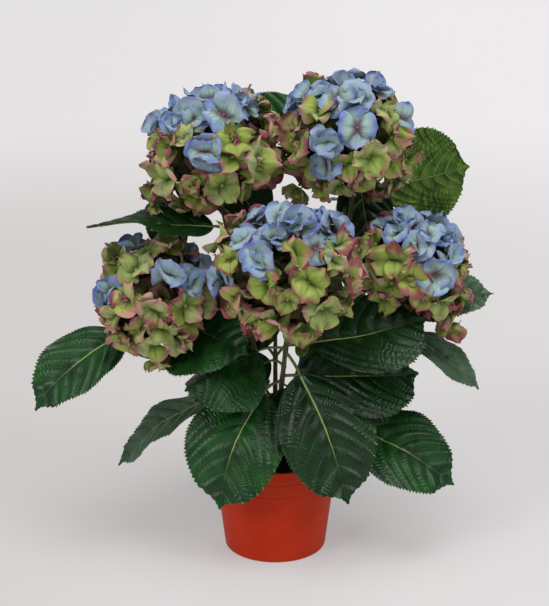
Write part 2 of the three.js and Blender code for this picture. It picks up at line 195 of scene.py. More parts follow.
# Distant lights. name: direction it comes from, its width in degrees, and its strength
SUNS = {
    "top": ((0.05, -0.22, 1.0), 40, 1.50),
    "left": ((-0.80, -0.75, 0.75), 20, 0.66),
    "right": ((0.75, -0.60, 1.0), 20, 0.55),
}
SKY = ("#f4f4f7", 0.32)            # colour and strength


def linear(code):
    """The linear colour of an sRGB hex code, with alpha."""
    parts = [int(code[i:i + 2], 16) / 255 for i in (1, 3, 5)]
    return tuple(p / 12.92 if p <= 0.04045 else ((p + 0.055) / 1.055) ** 2.4 for p in parts) + (1.0,)


def add_object(name, data):
    thing = bpy.data.objects.new(name, data)
    bpy.context.scene.collection.objects.link(thing)
    return thing


def add_camera():
    data = bpy.data.cameras.new("camera")
    data.lens = CAMERA.lens
    data.sensor_width = CAMERA.sensor
    data.clip_end = CAMERA.far
    camera = add_object("camera", data)
    camera.location = np.array(CAMERA.target) + TO_CAMERA * CAMERA.distance
    camera.rotation_euler = (pi / 2 - PITCH, 0, 0)
    bpy.context.scene.camera = camera


def add_lights():
    for name, (toward, width, power) in SUNS.items():
        data = bpy.data.lights.new(name, "SUN")
        data.angle = radians(width)
        data.energy = power
        add_object(name, data).rotation_euler = Vector(toward).to_track_quat("Z", "Y").to_euler()
    world = bpy.data.worlds.new("studio")
    world.use_nodes = True
    background = world.node_tree.nodes["Background"]
    background.inputs["Color"].default_value = linear(SKY[0])
    background.inputs["Strength"].default_value = SKY[1]
    bpy.context.scene.world = world


# ---------------- shader helpers

class Value:
    """A number in a node tree, which sums are written with."""

    def __init__(self, shade, socket):
        self.shade, self.socket = shade, socket

    def do(self, operation, other=0.0):
        return self.shade.math(operation, self, other)

    def __rsub__(self, other):
        return self.shade.math("SUBTRACT", other, self)

    __add__ = partialmethod(do, "ADD")
    __sub__ = partialmethod(do, "SUBTRACT")
    __mul__ = partialmethod(do, "MULTIPLY")
    __truediv__ = partialmethod(do, "DIVIDE")
    __pow__ = partialmethod(do, "POWER")
    __gt__ = partialmethod(do, "GREATER_THAN")
    __abs__ = partialmethod(do, "ABSOLUTE")


class Shade:
    """A node material, built up from the Principled shader."""

    def __init__(self, name):
        self.material = bpy.data.materials.new(name)
        self.material.use_nodes = True
        self.tree = self.material.node_tree
        self.shader = self.tree.nodes["Principled BSDF"]

    def put(self, socket, value):
        if isinstance(value, Value):
            value = value.socket
        if isinstance(value, bpy.types.NodeSocket):
            self.tree.links.new(value, socket)
        else:
            socket.default_value = value

    def add(self, kind, inputs=(), **settings):
        node = self.tree.nodes.new(kind)
        for key, value in settings.items():
            setattr(node, key, value)
        for key, value in dict(inputs).items():
            self.put(node.inputs[key], value)
        return node

    def place(self):
        """Place on the object, in metres."""
        return self.add("ShaderNodeTexCoord").outputs["Object"]

    def math(self, operation, a, b=0.0):
        return Value(self, self.add("ShaderNodeMath", {0: a, 1: b}, operation=operation).outputs[0])

    def smooth(self, value, low, high):
        """A soft step from 0 to 1."""
        node = self.add("ShaderNodeMapRange", interpolation_type="SMOOTHSTEP")
        for socket, v in zip(node.inputs, (value, low, high, 0.0, 1.0)):
            self.put(socket, v)
        return Value(self, node.outputs[0])

    def mix(self, share, a, b):
        """Colour a with a share of colour b."""
        node = self.add("ShaderNodeMix", {0: share}, data_type="RGBA")
        self.put(node.inputs[6], linear(a) if isinstance(a, str) else a)
        self.put(node.inputs[7], linear(b) if isinstance(b, str) else b)
        return node.outputs[2]

    def over(self, colour, *layers):
        """A colour with shares of others laid over it in turn."""
        for share, other in layers:
            colour = self.mix(share, colour, other)
        return colour

    def vector(self, x, y, z):
        return self.add("ShaderNodeCombineXYZ", {"X": x, "Y": y, "Z": z}).outputs[0]

    def noise(self, vector, scale, detail=2.0, roughness=0.5):
        inputs = {"Vector": vector, "Scale": scale, "Detail": detail, "Roughness": roughness}
        return Value(self, self.add("ShaderNodeTexNoise", inputs).outputs["Fac"])

    def steps(self, value, colours):
        """A colour out of a row of plain colours, by a value that runs from 0 to their number."""
        node = self.add("ShaderNodeValToRGB", {0: (value + 0.5) / len(colours)})
        ramp = node.color_ramp
        ramp.interpolation = "CONSTANT"
        while len(ramp.elements) < len(colours):
            ramp.elements.new(0.5)
        for i, colour in enumerate(colours):
            ramp.elements[i].position = i / len(colours)
            ramp.elements[i].color = linear(colour)
        return node.outputs[0]

    def tile(self, columns, rows):
        """Place on the map's grid of tiles: column, row, and where in the tile, from 0 to 1."""
        uv = self.add("ShaderNodeUVMap", uv_map=UV_NAME).outputs[0]
        split = self.add("ShaderNodeSeparateXYZ", {0: uv})
        x, y = Value(self, split.outputs[0]) * columns, Value(self, split.outputs[1]) * rows
        return x.do("FLOOR"), y.do("FLOOR"), x.do("FRACT"), y.do("FRACT")

    def chance(self, *values):
        """Three even random numbers for a cell."""
        node = self.add("ShaderNodeTexWhiteNoise", {"Vector": self.vector(*values)},
                        noise_dimensions="3D")
        split = self.add("ShaderNodeSeparateColor", {"Color": node.outputs["Color"]})
        return [Value(self, part) for part in split.outputs[:3]]

    def finish(self, colour, roughness, height=None, depth=0.0003, strength=1.0, **constants):
        self.put(self.shader.inputs["Base Color"], colour)
        self.put(self.shader.inputs["Roughness"], roughness)
        for key, value in constants.items():
            self.shader.inputs[key.replace("_", " ")].default_value = value
        if height is not None:
            bump = {"Height": height, "Distance": depth, "Strength": strength}
            self.put(self.shader.inputs["Normal"], self.add("ShaderNodeBump", bump).outputs[0])
        return self.material


# ---------------- mesh helpers

class Bag:
    """Points, faces and map corners of one kind of thing, joined into one piece."""

    def __init__(self):
        self.points, self.faces, self.corners, self.count = [], [], [], 0

    def add(self, points, faces, uv=None):
        """faces: an (n, 3) or (n, 4) array. uv: one pair for each corner of each face."""
        points = points.reshape(-1, 3)
        self.points.append(points)
        self.faces.append(faces + self.count)
        self.count += len(points)
        if uv is not None:
            self.corners.append(uv.reshape(-1, 2))

    def add_rings(self, rings, start, end, flip=False):
        """Closed rings joined in a row, with a fan round a point at either end."""
        rings = np.asarray(rings, float)
        rows, sides = rings.shape[:2]
        count, last, before = rows * sides, (rows - 1) * sides, self.count
        k = np.arange(sides)
        after = (k + 1) % sides
        fans = np.concatenate([np.stack([np.full(sides, count), k, after], -1),
                               np.stack([np.full(sides, count + 1), last + after, last + k], -1)])
        self.add(np.concatenate([rings.reshape(-1, 3), [start], [end]]),
                 grid_faces(rows, sides, wrap=True, flip=flip))
        self.faces.append((fans[:, [0, 2, 1]] if flip else fans) + before)

    def piece(self, name, material, slot, nodes, sharp=None):
        mesh = bpy.data.meshes.new(name)
        faces = [row for block in self.faces for row in block.tolist()]
        mesh.from_pydata((np.concatenate(self.points) * MM).tolist(), [], faces)
        mesh.polygons.foreach_set("use_smooth", np.ones(len(faces), bool))
        if self.corners:
            layer = mesh.uv_layers.new(name=UV_NAME)
            layer.data.foreach_set("uv", np.concatenate(self.corners).astype(np.float32).ravel())
        mesh.update()
        if sharp is not None:
            mesh.set_sharp_from_angle(angle=radians(sharp))
        mesh.materials.append(material)
        thing = add_object(name, mesh)
        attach(thing, "root")
        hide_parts(*nodes)


def unit(v):
    v = np.asarray(v, float)
    return v / norm(v, axis=-1, keepdims=True)


def smoothstep(x, low, high):
    t = np.clip((x - low) / (high - low), 0, 1)
    return t * t * (3 - 2 * t)


def circle(count):
    return 2 * pi * np.arange(count) / count


def around(radius, angle, z, swell=1):
    """Points at a radius and angle round the upright axis."""
    x, y = radius * np.cos(angle) * swell, radius * np.sin(angle) * swell
    return np.stack(np.broadcast_arrays(x, y, z), -1)


def grid_faces(rows, columns, wrap=False, flip=False):
    """Quads over a grid of points stored row by row."""
    i = np.arange(rows - 1)[:, None]
    j = np.arange(columns if wrap else columns - 1)[None, :]
    k = (j + 1) % columns
    a, b, c, d = i * columns + j, (i + 1) * columns + j, (i + 1) * columns + k, i * columns + k
    quads = np.stack([a, b, c, d], -1).reshape(-1, 4)
    return quads[:, ::-1] if flip else quads


def carried_frames(path):
    """Two unit vectors square to a path, carried along it without turning."""
    tangents = unit(np.gradient(path, axis=0))
    across = np.array([1.0, 0.0, 0.0])
    sides = []
    for tangent in tangents:
        across = across - tangent * across.dot(tangent)
        across = across / norm(across)
        sides.append(across)
    sides = np.array(sides)
    return sides, np.cross(tangents, sides)


def cross_pair(facing):
    """Two unit vectors square to a direction."""
    across = unit(np.cross(facing, OFF_FLORET))
    return across, np.cross(facing, across)


def add_tube(bag, path, radius, sides):
    """A closed tube. radius is one number for each point, or a row of them round each point."""
    across, other = carried_frames(path)
    angle = circle(sides)[:, None]
    ring = across[:, None] * np.cos(angle) + other[:, None] * np.sin(angle)
    bag.add_rings(path[:, None] + ring * radius.reshape(len(path), -1, 1), path[0], path[-1],
                  flip=True)


def bezier(points, t):
    t = t[:, None]
    while len(points) > 1:
        points = [a * (1 - t) + b * t for a, b in zip(points, points[1:])]
    return points[0]


# ---------------- heads, stems and leaves
# They follow the CAD, but for the tip of a blade, which is drawn out by DRIP.

def head_lean(name):
    x, y = (tan(radians(a)) for a in HEADS[name][2])
    return unit([x, y, 1])


def head_turn(name):
    """The rotation that takes straight up to the head's lean."""
    lean = head_lean(name)
    axis = np.cross(UP, lean)
    cross = np.array([[0, -axis[2], axis[1]], [axis[2], 0, -axis[0]], [-axis[1], axis[0], 0]])
    return np.eye(3) + cross + cross @ cross / (1 + UP.dot(lean))


def head_shell(name, level, turn):
    """Offset from the head's centre to its surface, at a level from 1 at its top to -1 below."""
    size, seed = HEADS[name][1], HEADS[name][3]
    flat = sqrt(max(0, 1 - level * level))
    x, y = flat * cos(turn), flat * sin(turn)
    turn = atan2(y, x)
    swell = 1 + LUMPS * (sin(3 * turn + seed) * (1 - level ** 2)
                         + cos(4 * level + 2 * turn + seed))
    squash = UNDERSIDE if level < 0 else 1
    return (head_turn(name) @ (np.array([x, y, level * squash]) * swell)) * size


def head_foot(name):
    """Where a stem ends, inside the underside of its head."""
    centre, size = HEADS[name][:2]
    return np.array(centre) + head_lean(name) * (-min(size) * UNDERSIDE + STEM.sink)


def stem_controls(name):
    foot, head, bow = STEMS[name]
    top = head_foot(head)
    start = np.array([*foot, FILL.top + GAP], float)
    return [start, start + np.array([*bow, STEM.rise]), top - head_lean(head) * STEM.into, top]


def stem_point(name, height):
    path = bezier(stem_controls(name), np.linspace(0, 1, 2001))
    return path[np.searchsorted(path[:, 2], height)]


def blade_frame(leaf):
    heading, rise, roll = (radians(a) for a in leaf[3:6])
    along = np.array([cos(rise) * cos(heading), cos(rise) * sin(heading),
                      sin(rise)])
    level = unit(UP - along * UP.dot(along))
    face = level * cos(roll) + np.cross(level, along) * sin(roll)
    return along, face, np.cross(face, along)


def half_width(share):
    body = np.sin(pi * np.clip(share, 0, 1) ** LEAF.widest).clip(0) ** LEAF.fullness
    body = body * (1 - LEAF.tip_pinch * smoothstep(share, LEAF.tip_start, 1))
    drawn = 1 - DRIP * smoothstep(share, LEAF.tip_start, DRIP_END)
    return np.maximum(body * drawn, LEAF.least)


def blade_points(leaf, share, side, lift=0.0, grow=0.0, reach=0.0):
    """Points of a blade, by share of its length and side from -1 to 1, moved by millimetres."""
    along, face, across = blade_frame(leaf)
    length, width, _, extra = leaf[6:]
    share, side, lift, grow, reach = np.broadcast_arrays(share, side, lift, grow, reach)
    turn = radians(extra.get("twist", 0)) * (share - 0.5)
    up = face * np.cos(turn)[..., None] + across * np.sin(turn)[..., None]
    out = across * np.cos(turn)[..., None] - face * np.sin(turn)[..., None]
    half = width / 2 * half_width(share)
    hump = np.sin(pi * share) * length
    slope = radians(extra.get("fold", LEAF.fold))
    ahead = length * share + extra.get("shear", 0) * half * side + reach
    rise = (np.abs(side) * half * sin(slope)
            - extra.get("curl", LEAF.curl) * half * side ** 2 + lift)
    return (np.array(leaf[2]) + along * ahead[..., None]
            + face * (extra.get("arch", LEAF.arch) * hump)[..., None]
            + across * (extra.get("bend", 0) * hump)[..., None]
            + out * ((half + grow) * side * cos(slope))[..., None]
            + up * rise[..., None])


# ---------------- pot and filling

POT_SIDES = 128
POT_UNEVEN = 0.0012    # how far the pot is out of round, in radii
HOLLOW = 0.9           # height of the hollow under it
# The foam's grid, its lumps' number and radii, and the most that one stands out.
FOAM = Sizes(rings=44, sides=132, lumps=520, radii=(1.6, 4.2), most=1.9)


def pot_radius(z):
    return POT.foot + (POT.rim - POT.foot) * z / POT.height


def pot_profile():
    """Down the inside, over the rim and down the outside, as radius and height."""
    height, wall, floor, curve = POT.height, POT.wall, POT.floor, POT.round
    inside = [(0.0, floor), (20, floor), (38, floor), (pot_radius(floor) - wall - 1.5, floor)]
    inside += [(pot_radius(z) - wall, z) for z in (floor + 1.2, 8, 20, 35, 50, 65, 80, 92, height - 2)]
    middle = pot_radius(height) - wall / 2
    bend = [(middle + wall / 2 * cos(a), height - wall / 2 + wall / 2 * sin(a))
            for a in np.linspace(pi, 0, 9)]
    heights = sorted({*np.linspace(curve, height - wall, 46),
                      *(height - below + step for below in POT.rings
                        for step in np.linspace(-2.4, 2.4, 13))}, reverse=True)
    outside = []
    for z in heights:
        groove = sum(exp(-((z - height + below) / (POT.ring_width * 0.45)) ** 2)
                     for below in POT.rings)
        outside.append((pot_radius(z) - POT.ring_depth * groove, z))
    corner = pot_radius(curve) - curve
    foot = [(corner + curve * cos(a), curve + curve * sin(a))
            for a in np.linspace(-0.15, -pi / 2, 8)]
    under = [(corner - 2.5, 0.0), *((r, HOLLOW) for r in (corner - 3.4, 30, 12, 0.0))]
    return inside + bend + outside + foot + under


def make_pot():
    profile = pot_profile()
    angle = circle(POT_SIDES)
    uneven = 1 + POT_UNEVEN * np.sin(2 * angle + 0.7) * 0.6 + POT_UNEVEN * np.sin(5 * angle) * 0.4
    r, z = np.array(profile[1:-1]).T[..., None]
    bag = Bag()
    bag.add_rings(around(r, angle, z, uneven), (0, 0, profile[0][1]), (0, 0, profile[-1][1]))
    bag.piece("pot_body", pot_material(), "pot", ["pot"], sharp=50)


def lump_field(x, y, rng, count, radius, low, high):
    """Round lumps strewn over a disc, as a height."""
    spots = rng.uniform(-radius, radius, (count, 2))
    sizes = rng.uniform(low, high, count)
    height = np.zeros_like(x)
    for (sx, sy), size in zip(spots, sizes):
        near = np.maximum(0, 1 - ((x - sx) ** 2 + (y - sy) ** 2) / size ** 2)
        height = np.maximum(height, np.sqrt(near) * size * 0.55)
    return height


def make_filling():
    inset = POT.wall + GAP
    low = POT.floor + GAP
    rim = pot_radius(FILL.top - FILL.dish) - inset - 0.2
    radius = np.linspace(1.2, rim, FOAM.rings)[:, None]
    angle = circle(FOAM.sides)
    x, y, _ = np.moveaxis(around(radius, angle, 0), -1, 0)
    dish = FILL.top - FILL.dish * smoothstep(radius, rim * FILL.flat, rim)
    lumps = lump_field(x, y, np.random.default_rng(41), FOAM.lumps, rim, *FOAM.radii)
    calm = 1 - smoothstep(radius, rim - 3, rim)
    top = around(radius, angle, dish - FOAM.most + np.minimum(lumps, FOAM.most) * calm)
    wall = [around(r, angle, z) for r, z in ((pot_radius(60) - inset, 60),
                                             (pot_radius(low) - inset, low), (20, low))]
    bag = Bag()
    bag.add_rings([*top, *wall], (0, 0, FILL.top - 1.2), (0, 0, low))
    bag.piece("pot_filling", filling_material(), "filling", ["pot_fill"], sharp=70)


# ---------------- stems

# Shares of the stem's radius. knot: at a leaf's node, with its half length in millimetres.
# most: what the knots add at most.
SKIN = Sizes(ribs=0.035, ripple=0.02, grain=0.015, knot=(0.16, 2.6), most=0.22)


def make_stems():
    bag = Bag()
    rng = np.random.default_rng(7)
    t = np.linspace(0, 1, 90)
    angle = circle(20)
    for name in STEMS:
        path = bezier(stem_controls(name), t)
        phase = rng.uniform(0, 6.3, 4)
        radius = (STEM.foot + (STEM.top - STEM.foot) * t)[:, None]
        ribs = SKIN.ribs * np.sin(5 * angle[None, :] + phase[0] + 2.5 * t[:, None])
        knots = np.zeros(len(t))
        for leaf in LEAVES.values():
            if "stem_" + leaf[0] == name:
                knots += SKIN.knot[0] * np.exp(-((path[:, 2] - leaf[1]) / SKIN.knot[1]) ** 2)
        skin = SKIN.ripple * np.sin(37 * t[:, None] + 3 * angle[None, :] + phase[1])
        skin = skin + SKIN.grain * rng.standard_normal((len(t), len(angle)))
        add_tube(bag, path, radius * (1 + ribs + skin + np.minimum(knots, SKIN.most)[:, None]),
                 len(angle))
    bag.piece("stems", stem_material(), "stem", list(STEMS))


# ---------------- leaves

VEINS = 7.0            # side veins to a leaf's length
VEIN_SLOPE = 0.3       # how far a side vein runs forward for its way out, at the midrib
VEIN_BEND = 2.9        # and how much more so further out
TEETH = 34             # teeth on either margin
ACROSS = 33            # points across a blade
RIBS = 27              # fine ribs to a leaf's length
SPREAD = 1.3           # width of a leaf's tile, in lengths of the leaf
LEAF_INSET = 0.02      # what a tile leaves free at the leaf's foot and tip
FOOT_ROWS = 6          # rows of points before the first tooth,
FOOT_END = 0.08        # which stands this far along

# Millimetres on a leaf of this length. quilt: height between the side veins. groove: depth and half
# width along the midrib. frill: waves of the margin, and droop: along the blade. tooth: how far a
# tooth stands out, notch: how far the margin is cut in, lean: how far a tooth points forward.
# ridge: height and half width of a vein on the underside.
BLADE = Sizes(length=115, quilt=2.6, groove=(1.0, 2.4), frill=1.9, droop=1.6,
              tooth=1.9, notch=0.65, lean=1.5, thick=0.45, ridge=(0.5, 1.3))


def leaf_rows():
    """How far along each row of points is, and how far out its tooth, from 0 to 1."""
    foot = FOOT_END * (np.arange(FOOT_ROWS) / FOOT_ROWS) ** 1.6
    step = np.arange(3 * TEETH + 1)
    tooth = np.array([0.0, 0.55, 1.0])[step % 3]
    return (np.concatenate([foot, FOOT_END + (1 - FOOT_END) * step / (3 * TEETH)]),
            np.concatenate([np.zeros(FOOT_ROWS), tooth]))


def leaf_uv(tint, under, x, y):
    u = (tint + 0.5 + np.clip(x, -0.64, 0.64) / SPREAD) / 4
    v = (under + LEAF_INSET + (1 - 2 * LEAF_INSET) * y) / 2
    return np.stack(np.broadcast_arrays(u, v), -1).reshape(-1, 2)


def add_leaf(bag, leaf, rng):
    length, width, tint, extra = leaf[6:]
    scale = length / BLADE.length
    rows, tooth = leaf_rows()
    columns = np.linspace(-1, 1, ACROSS)
    share, side = rows[:, None], columns[None, :]
    x = width / 2 * half_width(share) * side / length
    # Number of the side vein, whole on each vein.
    out = np.abs(x)
    number = (share - VEIN_SLOPE * out - VEIN_BEND * out * out) * VEINS
    wave = rng.uniform(0, 6.3, 3)

    quilt = np.abs(np.sin(pi * number)) ** 0.65
    calm = smoothstep(out, 0.0, 0.05) * (1 - 0.5 * smoothstep(np.abs(side), 0.75, 1.0))
    calm = calm * smoothstep(share, 0.0, 0.1)
    relief = extra.get("relief", BLADE.quilt) * scale * (quilt - 0.5) * calm
    deep, wide = BLADE.groove
    groove = -deep * scale * np.exp(-(x * length / (wide * scale)) ** 2) * (1 - 0.7 * share)
    waves = 2 * pi * (2.3 + 0.25 * np.sign(side)) * share + wave[0] + 1.7 * (side > 0)
    frill = (BLADE.frill * scale * np.abs(side) ** 3 * smoothstep(share, 0.02, 0.2)
             * np.sin(waves))
    droop = (BLADE.droop * scale * np.sin(2 * pi * share * 1.3 + wave[1])
             * smoothstep(share, 0, 0.4))
    lift = relief + groove + frill + droop

    edge = np.where(np.abs(side) > 0.999, 1.0, np.where(np.abs(side) > 0.94, 0.2, 0.0))
    size = smoothstep(share, 0.09, 0.2) * (1 - 0.8 * smoothstep(share, 0.82, 1.0)) * scale
    uneven = np.repeat(rng.uniform(0.65, 1.25, (TEETH + 1, 2)), 3, axis=0)[:3 * TEETH + 1]
    uneven = np.concatenate([np.ones((FOOT_ROWS, 2)), uneven])[:, (np.sign(columns) > 0).astype(int)]
    bite = tooth[:, None] * uneven
    grow = (BLADE.tooth * bite - BLADE.notch) * edge * size
    above = blade_points(leaf, share, side, lift, grow, BLADE.lean * bite * edge * size)

    # The underside shares the margin, and its veins stand out.
    inner = slice(1, -1)
    near = np.abs(number - np.round(number))[:, inner] / VEINS * length
    high, wide = BLADE.ridge
    ridge = high * np.exp(-(near / wide) ** 2) * calm[:, inner]
    thick = BLADE.thick * (1 - np.abs(columns[inner]) ** 6)
    below = blade_points(leaf, share, side[:, inner], lift[:, inner] - thick - ridge * scale)
    index = np.arange(len(rows) * ACROSS).reshape(len(rows), ACROSS)
    index[:, inner] = index.size + np.arange(below.size // 3).reshape(len(rows), -1)
    top, under = grid_faces(len(rows), ACROSS), grid_faces(len(rows), ACROSS, flip=True)
    uv = [leaf_uv(tint, layer, x, share + 0 * side)[faces] for layer, faces in ((0, top), (1, under))]
    bag.add(np.concatenate([above.reshape(-1, 3), below.reshape(-1, 3)]),
            np.concatenate([top, index.reshape(-1)[under]]), np.concatenate(uv))
    return lift[:, ACROSS // 2]


def add_stalk(bag, leaf, lift):
    """The stalk from its node on the stem, and the midrib that goes on under the blade."""
    start = stem_point("stem_" + leaf[0], leaf[1])
    foot = blade_points(leaf, np.array(0.02), np.array(0.0))
    middle = foot - blade_frame(leaf)[0] * LEAF.ease * norm(foot - start)
    arc = bezier([start, middle, foot], np.linspace(0, 1, 13)[:-1])
    scale = min(1.0, leaf[6] / 100)
    share = np.linspace(0.02, 0.86, 20)
    rise = np.interp(share, leaf_rows()[0], lift)
    radius = 1.25 * scale * (1 - share) ** 0.8 + 0.12
    midrib = blade_points(leaf, share, 0 * share, rise - 0.25 - radius * 0.75)
    width = np.concatenate([np.full(len(arc), LEAF.petiole * max(scale, 0.45)), radius])
    width[9:12] = width[9:12] * [0.97, 0.92, 0.86]
    add_tube(bag, np.concatenate([arc, midrib]), width, 9)


def make_leaves():
    rng = np.random.default_rng(23)
    material = leaf_material()
    names = list(LEAVES)
    stalks = Bag()
    groups = {"leaves_front": names[:10], "leaves_side": names[10:21], "leaves_back": names[21:]}
    for piece, members in groups.items():
        bag = Bag()
        for name in members:
            lift = add_leaf(bag, LEAVES[name], rng)
            add_stalk(stalks, LEAVES[name], lift)
        bag.piece(piece, material, "leaf", members, sharp=75)
    stalks.piece("leaf_stalks", stalk_material("leaf_stalk"), "leaf", names)


# ---------------- flower heads

GROUPS = {"high": ("head_top_left", "head_top_right", "head_back"),
          "low": ("head_front", "head_left", "head_right")}
FINE, PLAIN = (9, 10), (5, 6)      # rows and columns of a petal that shows, and of one that hardly does
SHADED_COLUMN = 3                           # the tiles' column, painted darker as shade, for petals deep in a head
PETAL_INSET = 0.04                 # what a tile leaves free round its petal

# widest: how far out a petal is widest, and narrow: half width of its foot, beside that. start: where
# it starts, under the bead. uneven: of its outline. back: how far its sides fall back. skew: how far
# it leans to a side. ripple: height of its fine waves, and twist: how far it turns out of its plane.
PETAL = Sizes(widest=0.58, narrow=0.16, start=0.05, uneven=0.05, back=0.07, skew=0.1,
              ripple=0.016, twist=0.12)

KINDS = {
    # half: half width of a petal, in lengths, and cusp: its point. stand: how steeply the petals of
    # a floret rise, throat: how much more by the bead, and roll: how far a tip rolls back, in degrees.
    # arch: bend across a petal. curl: of its margin. crisp: height of its waves, and waves: how many.
    # second: chance of a smaller second layer, its size, how much steeper it stands, and its grid.
    # bead: its radius. Of the table's florets, reach: how far out the upper ones start at most, in
    # radii of the head, to_front: how much more they turn to the front, and longer: their petals.
    "green": Sizes(half=(0.54, 0.68), cusp=0.09, stand=(12, 46), throat=44,
                   roll=(-25, 90), arch=(-2.2, 0.9), curl=0.13, crisp=0.14,
                   waves=(1.1, 2.5), second=(0.35, 0.5, 34, PLAIN), bead=1.9,
                   reach=0.92, to_front=0, longer=1.09),
    "blue": Sizes(half=(0.60, 0.72), cusp=0.01, stand=(6, 40), throat=42,
                  roll=(-30, 60), arch=(-1.5, 1.1), curl=0.07, crisp=0.075,
                  waves=(1.2, 2.3), second=(0.6, 0.78, 14, FINE), bead=1.7,
                  reach=0.82, to_front=0.35, longer=1.03),
}
# The other petals of a floret lie over their neighbours: how much steeper, and how much higher.
OVERLAP = ((-7, -1.0), (9, 1.6))

SHELL = 0.82           # how far out the table's florets stand, in radii of the head
DRAWN_IN = 0.96        # and how far their places are drawn in
# The layers that fill a dome: how far out, places tried, how far down in degrees, how far apart the
# florets stand, the lengths of their petals, and whether they are deep in the head, painted dark as
# shade.
LAYERS = ((0.81, 96, 138, 15.8, (18, 21.5), False), (0.58, 64, 146, 11, (15, 18), True))
CLEAR = 3              # how much further they stand from a floret of the table

# lobes: height of a bead's lobes. half: half its height, and top: that of its flatter top, in radii.
BEAD = Sizes(sides=12, levels=8, lobes=0.14, half=0.85, top=0.7)
# The branching in a head: thickness at either end, points along, and sides.
NECK, SPOKE, TWIG = (STEM.top, 1.9, 4, 9), (1.5, 1.1, 6, 7), (0.85, 0.7, 7, 6)
SPOKES = 9


def petal_grid(grid):
    """Along and across a petal. Rows and columns close up towards the margin."""
    rows, columns = grid
    p = np.sin(np.linspace(0, 0.94 * pi / 2, rows + 1)) / sin(0.94 * pi / 2)
    q = np.sin(np.linspace(-0.8, 0.8, columns + 1)) / sin(0.8)
    return p[:, None], q[None, :]


def petal_width(p):
    """Half width along a petal, beside the widest: narrow at its foot and round at its end."""
    widest, narrow = PETAL.widest, PETAL.narrow
    foot = narrow + (1 - narrow) * smoothstep(p, -0.12, widest)
    end = np.clip((p - widest) / (1.015 - widest), 0, 1)
    return np.minimum(foot, 1) * np.sqrt(1 - end ** 2.3)


def petal_surface(kind, length, stand, over, swirl, rng, grid):
    """A petal that points along +x, its foot at the origin and +z its upper face."""
    k = KINDS[kind]
    p, q = petal_grid(grid)
    p = PETAL.start + (1 - PETAL.start) * p
    phase = rng.uniform(0, 6.3, 4)
    outline = 1 + PETAL.uneven * np.sin(9 * p + phase[0] + q)
    beside = q * petal_width(p) * rng.uniform(*k.half) * outline
    ahead = p - PETAL.back * q ** 2 * smoothstep(p, 0.2, 0.8)
    ahead = ahead + rng.uniform(-PETAL.skew, PETAL.skew) * beside
    ahead = ahead + k.cusp * np.exp(-(beside / 0.09) ** 2) * smoothstep(p, 0.82, 1.0)
    rim = 1 - (1 - q ** 4) * (1 - smoothstep(p, 0.7, 1.0))
    r = np.hypot(ahead, beside)

    # The profile along the middle, as slopes that are summed to a curve.
    s = np.linspace(0, 1.25, 51)
    slope = np.radians(stand + k.throat * np.exp(-s / 0.17)
                       - rng.uniform(*k.roll) * smoothstep(s, 0.35, 1.15))
    step = s[1] - s[0]
    along = np.interp(ahead, s, np.cumsum(np.cos(slope)) * step - step)
    rise = np.interp(ahead, s, np.cumsum(np.sin(slope)) * step)
    tilt = np.interp(ahead, s, slope)

    # The section across: arched, with a curled and wavy margin.
    arch = rng.uniform(*k.arch) + 0.001
    curl = rng.uniform(-1, 1) * k.curl
    waves = pi * rng.uniform(*k.waves)
    twist = swirl + rng.uniform(-PETAL.twist, PETAL.twist)
    turn = q + 0.5 * ahead
    height = ((1 - np.cos(arch * beside)) / arch + curl * smoothstep(rim, 0.45, 1.0)
              + k.crisp * r ** 1.8 * np.sin(waves * turn + phase[1])
              + PETAL.ripple * r ** 3 * np.sin(pi * 4.6 * turn + phase[2])
              + twist * q * r + over / length * smoothstep(r, 0, 0.4))
    return length * np.stack([along - height * np.sin(tilt), np.sin(arch * beside) / arch,
                              rise + height * np.cos(tilt)], -1)


def petal_uv(column, row, grid):
    p, q = petal_grid(grid)
    u = (column + PETAL_INSET + (1 - 2 * PETAL_INSET) * p) / 4
    v = (row + 0.5 + (0.5 - PETAL_INSET) * q) / 4
    return np.stack(np.broadcast_arrays(u, v), -1).reshape(-1, 2)


def add_floret(petals, beads, kind, centre, facing, length, rng, deep):
    """Four petals in two pairs round a bead. Some florets have a second, smaller layer."""
    facing = unit(facing)
    across, other = cross_pair(facing)
    spin = rng.uniform(0, 2 * pi)
    column = SHADED_COLUMN if deep else rng.integers(SHADED_COLUMN)
    stand = rng.uniform(*KINDS[kind].stand)
    swirl = rng.choice([-1, 1]) * rng.uniform(0.04, 0.26)
    layers = [(1.0, 0.0, 0.0, 0.0, PLAIN if deep else FINE)]
    chance, small, steeper, second = KINDS[kind].second
    if rng.random() < chance and not deep:
        layers.append((small, 0.05, pi / 4, steeper, second))
    for size, raised, turned, more, grid in layers:
        faces = grid_faces(grid[0] + 1, grid[1] + 1)
        for k in range(4):
            a = spin + turned + k * pi / 2 + rng.uniform(-0.13, 0.13)
            steep, over = OVERLAP[k % 2]
            pitch = stand + rng.normal(0, 10) + more + steep
            local = petal_surface(kind, length * size * rng.uniform(0.9, 1.1), pitch, over, swirl,
                                  rng, grid)
            local[..., 2] += length * raised
            ahead = across * cos(a) + other * sin(a)
            points = (centre + local[..., :1] * ahead + local[..., 1:2] * np.cross(facing, ahead)
                      + local[..., 2:] * facing)
            petals.add(points, faces, petal_uv(column, rng.integers(4), grid)[faces])
    if not deep:
        add_bead(beads, centre + facing * length * 0.12, facing, KINDS[kind].bead)


def add_bead(bag, centre, facing, radius):
    """A round bead with four lobes, a little flat on top."""
    across, other = cross_pair(facing)
    angle = circle(BEAD.sides)
    lobes = 1 + BEAD.lobes * np.cos(4 * angle)
    ring = across * np.cos(angle)[:, None] + other * np.sin(angle)[:, None]
    t = np.linspace(0, pi, BEAD.levels)
    rings = [centre + facing * height * radius * BEAD.half + ring * (width * radius * lobes)[:, None]
             for width, height in zip(np.sin(t)[1:-1], -np.cos(t)[1:-1])]
    bag.add_rings(rings, centre - facing * radius * BEAD.half,
                  centre + facing * radius * BEAD.top, flip=True)


